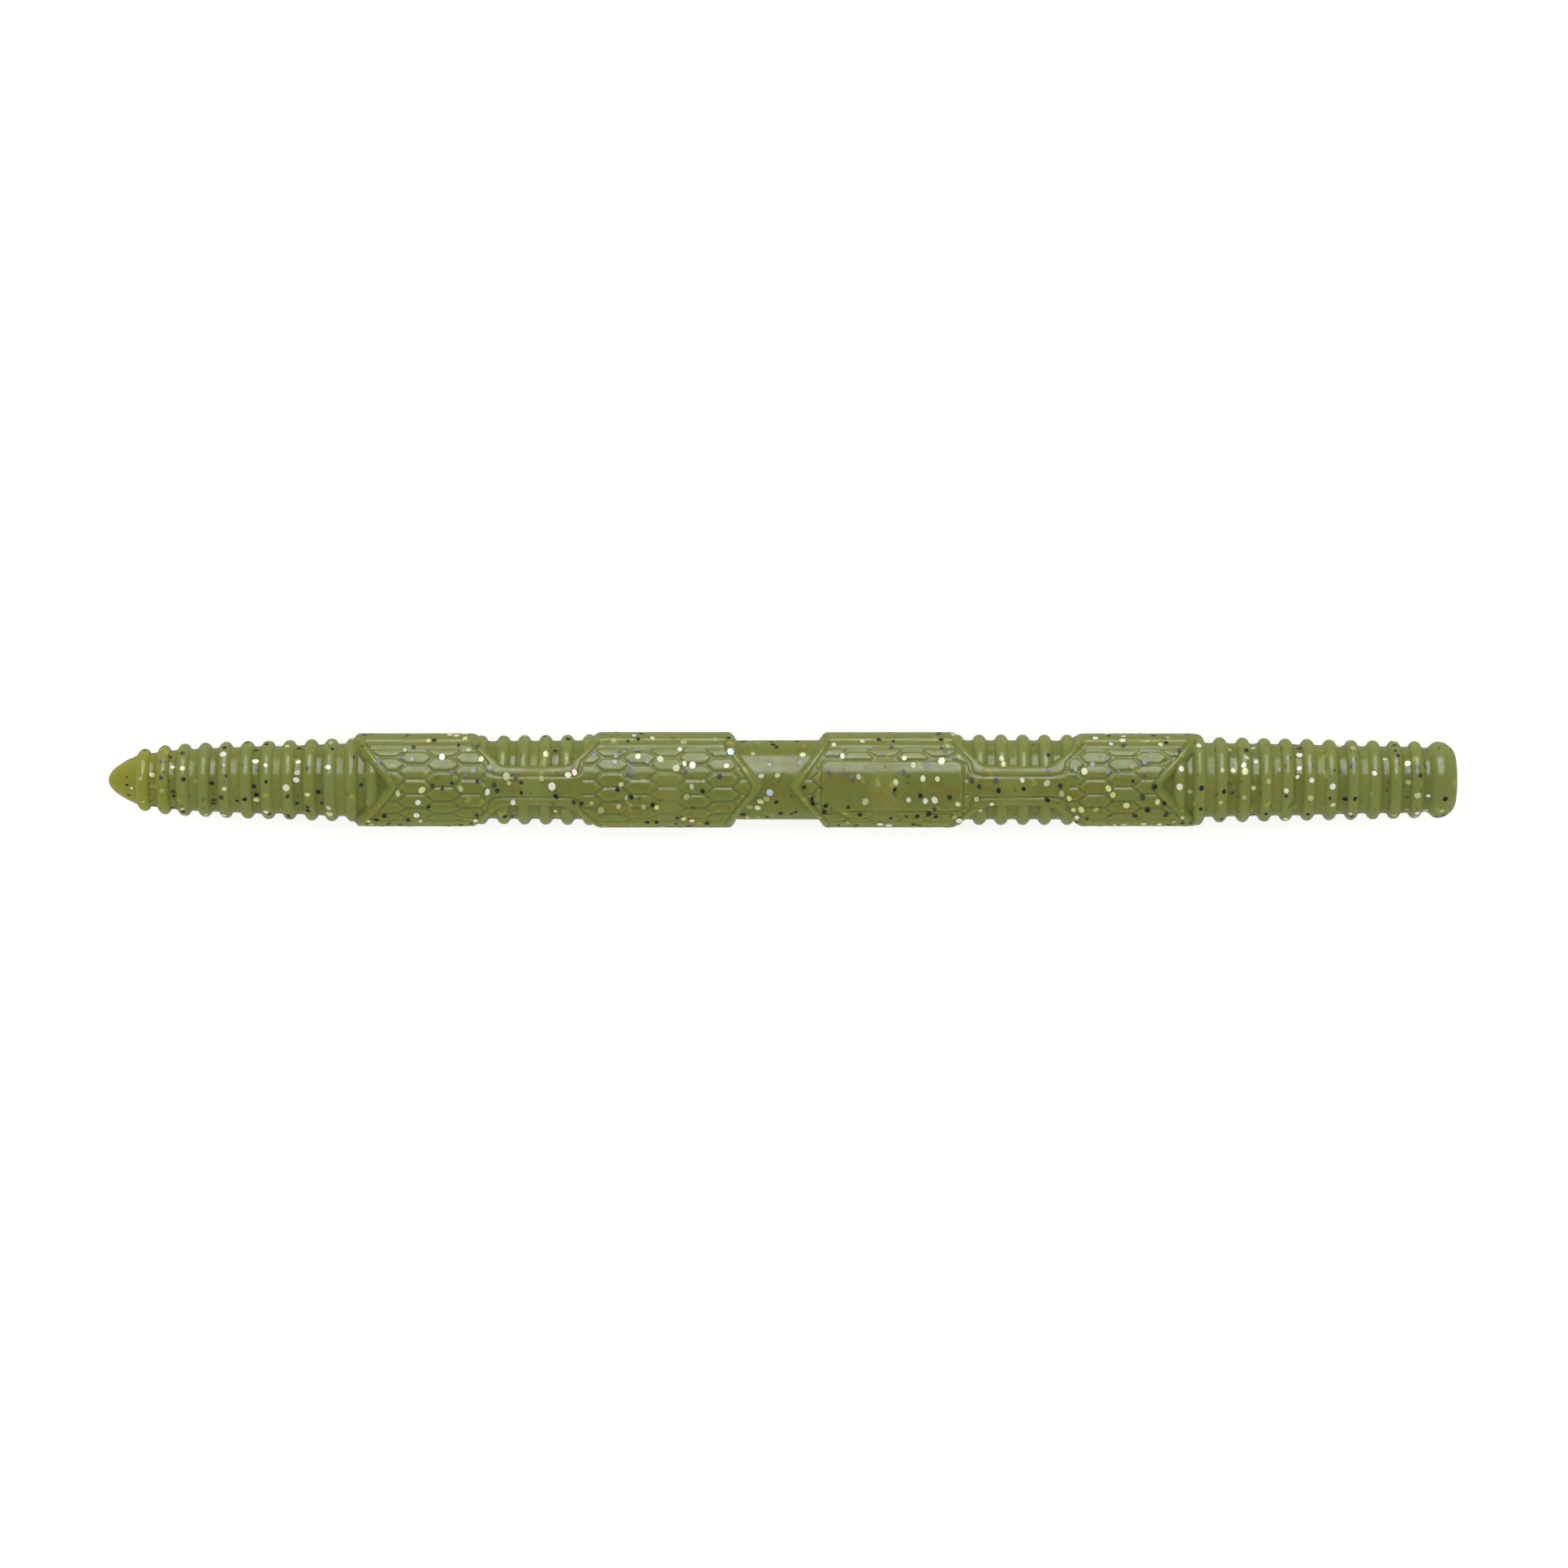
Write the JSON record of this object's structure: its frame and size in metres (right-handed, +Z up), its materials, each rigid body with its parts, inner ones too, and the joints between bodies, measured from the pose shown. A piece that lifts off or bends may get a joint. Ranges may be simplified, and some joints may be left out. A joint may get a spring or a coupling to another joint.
{
  "type": "soft plastic fishing worm",
  "caption": "Soft plastic stick worm with ringed tail and head, plates of long hexagons, two ribbed waists and a smooth one, bending at flex lines.",
  "frame": {"origin": "centre of the footprint, on the surface the worm lies on", "axes": "+X runs along the worm from the tail tip to the blunt head end, +Z is up"},
  "size_m": [0.1334, 0.0094, 0.0095],
  "materials": {
    "soft_plastic": "gloss",
    "black_flake": "satin",
    "bright_flake": "gloss"
  },
  "bodies": {
    "tail_tip": {"tail_tip": "soft_plastic"},
    "tail_ribs_outer": {"tail_ribs_outer": "soft_plastic"},
    "tail_ribs_middle": {"tail_ribs_middle": "soft_plastic"},
    "tail_ribs_inner": {"tail_ribs_inner": "soft_plastic"},
    "tail_plate": {"tail_plate": "soft_plastic"},
    "rear_waist": {"rear_waist": "soft_plastic"},
    "rear_plate": {"rear_plate": "soft_plastic"},
    "fore_plate": {"fore_plate": "soft_plastic"},
    "fore_waist": {"fore_waist": "soft_plastic"},
    "head_plate": {"head_plate": "soft_plastic"},
    "head_ribs_inner": {"head_ribs_inner": "soft_plastic"},
    "head_ribs_middle": {"head_ribs_middle": "soft_plastic"},
    "head_ribs_outer": {"head_ribs_outer": "soft_plastic"},
    "head_end": {"head_end": "soft_plastic"}
  },
  "joints": [
    {"name": "middle_bend", "type": "hinge", "parent": "rear_plate", "child": "fore_plate", "pos_m": [-0.00057, 0, 0.00475], "axis": [0, 0, 1], "range_deg": [-15, 15], "stiffness_Nm_per_rad": 0.004},
    {"name": "rear_waist_bend", "type": "hinge", "parent": "rear_plate", "child": "rear_waist", "pos_m": [-0.02243, 0, 0.00475], "axis": [0, 0, -1], "range_deg": [-15, 15], "stiffness_Nm_per_rad": 0.006},
    {"name": "rear_waist_lift", "type": "hinge", "parent": "rear_waist", "child": "tail_plate", "pos_m": [-0.02652, 0, 0.00475], "axis": [0, 1, 0], "range_deg": [-15, 15], "stiffness_Nm_per_rad": 0.006},
    {"name": "tail_bend_inner", "type": "hinge", "parent": "tail_plate", "child": "tail_ribs_inner", "pos_m": [-0.04777, 0, 0.00475], "axis": [0, 0, -1], "range_deg": [-15, 15], "stiffness_Nm_per_rad": 0.004},
    {"name": "tail_lift_inner", "type": "hinge", "parent": "tail_ribs_inner", "child": "tail_ribs_middle", "pos_m": [-0.05192, 0, 0.00475], "axis": [0, 1, 0], "range_deg": [-15, 15], "stiffness_Nm_per_rad": 0.004},
    {"name": "tail_bend_outer", "type": "hinge", "parent": "tail_ribs_middle", "child": "tail_ribs_outer", "pos_m": [-0.05607, 0, 0.00475], "axis": [0, 0, -1], "range_deg": [-15, 15], "stiffness_Nm_per_rad": 0.003},
    {"name": "tail_lift_outer", "type": "hinge", "parent": "tail_ribs_outer", "child": "tail_tip", "pos_m": [-0.06017, 0, 0.00475], "axis": [0, 1, 0], "range_deg": [-15, 15], "stiffness_Nm_per_rad": 0.003},
    {"name": "fore_waist_bend", "type": "hinge", "parent": "fore_plate", "child": "fore_waist", "pos_m": [0.02057, 0, 0.00475], "axis": [0, 0, 1], "range_deg": [-15, 15], "stiffness_Nm_per_rad": 0.006},
    {"name": "fore_waist_lift", "type": "hinge", "parent": "fore_waist", "child": "head_plate", "pos_m": [0.02488, 0, 0.00475], "axis": [0, -1, 0], "range_deg": [-15, 15], "stiffness_Nm_per_rad": 0.006},
    {"name": "head_bend_inner", "type": "hinge", "parent": "head_plate", "child": "head_ribs_inner", "pos_m": [0.04657, 0, 0.00475], "axis": [0, 0, 1], "range_deg": [-15, 15], "stiffness_Nm_per_rad": 0.005},
    {"name": "head_lift_inner", "type": "hinge", "parent": "head_ribs_inner", "child": "head_ribs_middle", "pos_m": [0.05087, 0, 0.00475], "axis": [0, -1, 0], "range_deg": [-15, 15], "stiffness_Nm_per_rad": 0.004},
    {"name": "head_bend_outer", "type": "hinge", "parent": "head_ribs_middle", "child": "head_ribs_outer", "pos_m": [0.05523, 0, 0.00475], "axis": [0, 0, 1], "range_deg": [-15, 15], "stiffness_Nm_per_rad": 0.004},
    {"name": "head_lift_outer", "type": "hinge", "parent": "head_ribs_outer", "child": "head_end", "pos_m": [0.05953, 0, 0.00475], "axis": [0, -1, 0], "range_deg": [-15, 15], "stiffness_Nm_per_rad": 0.004}
  ]
}
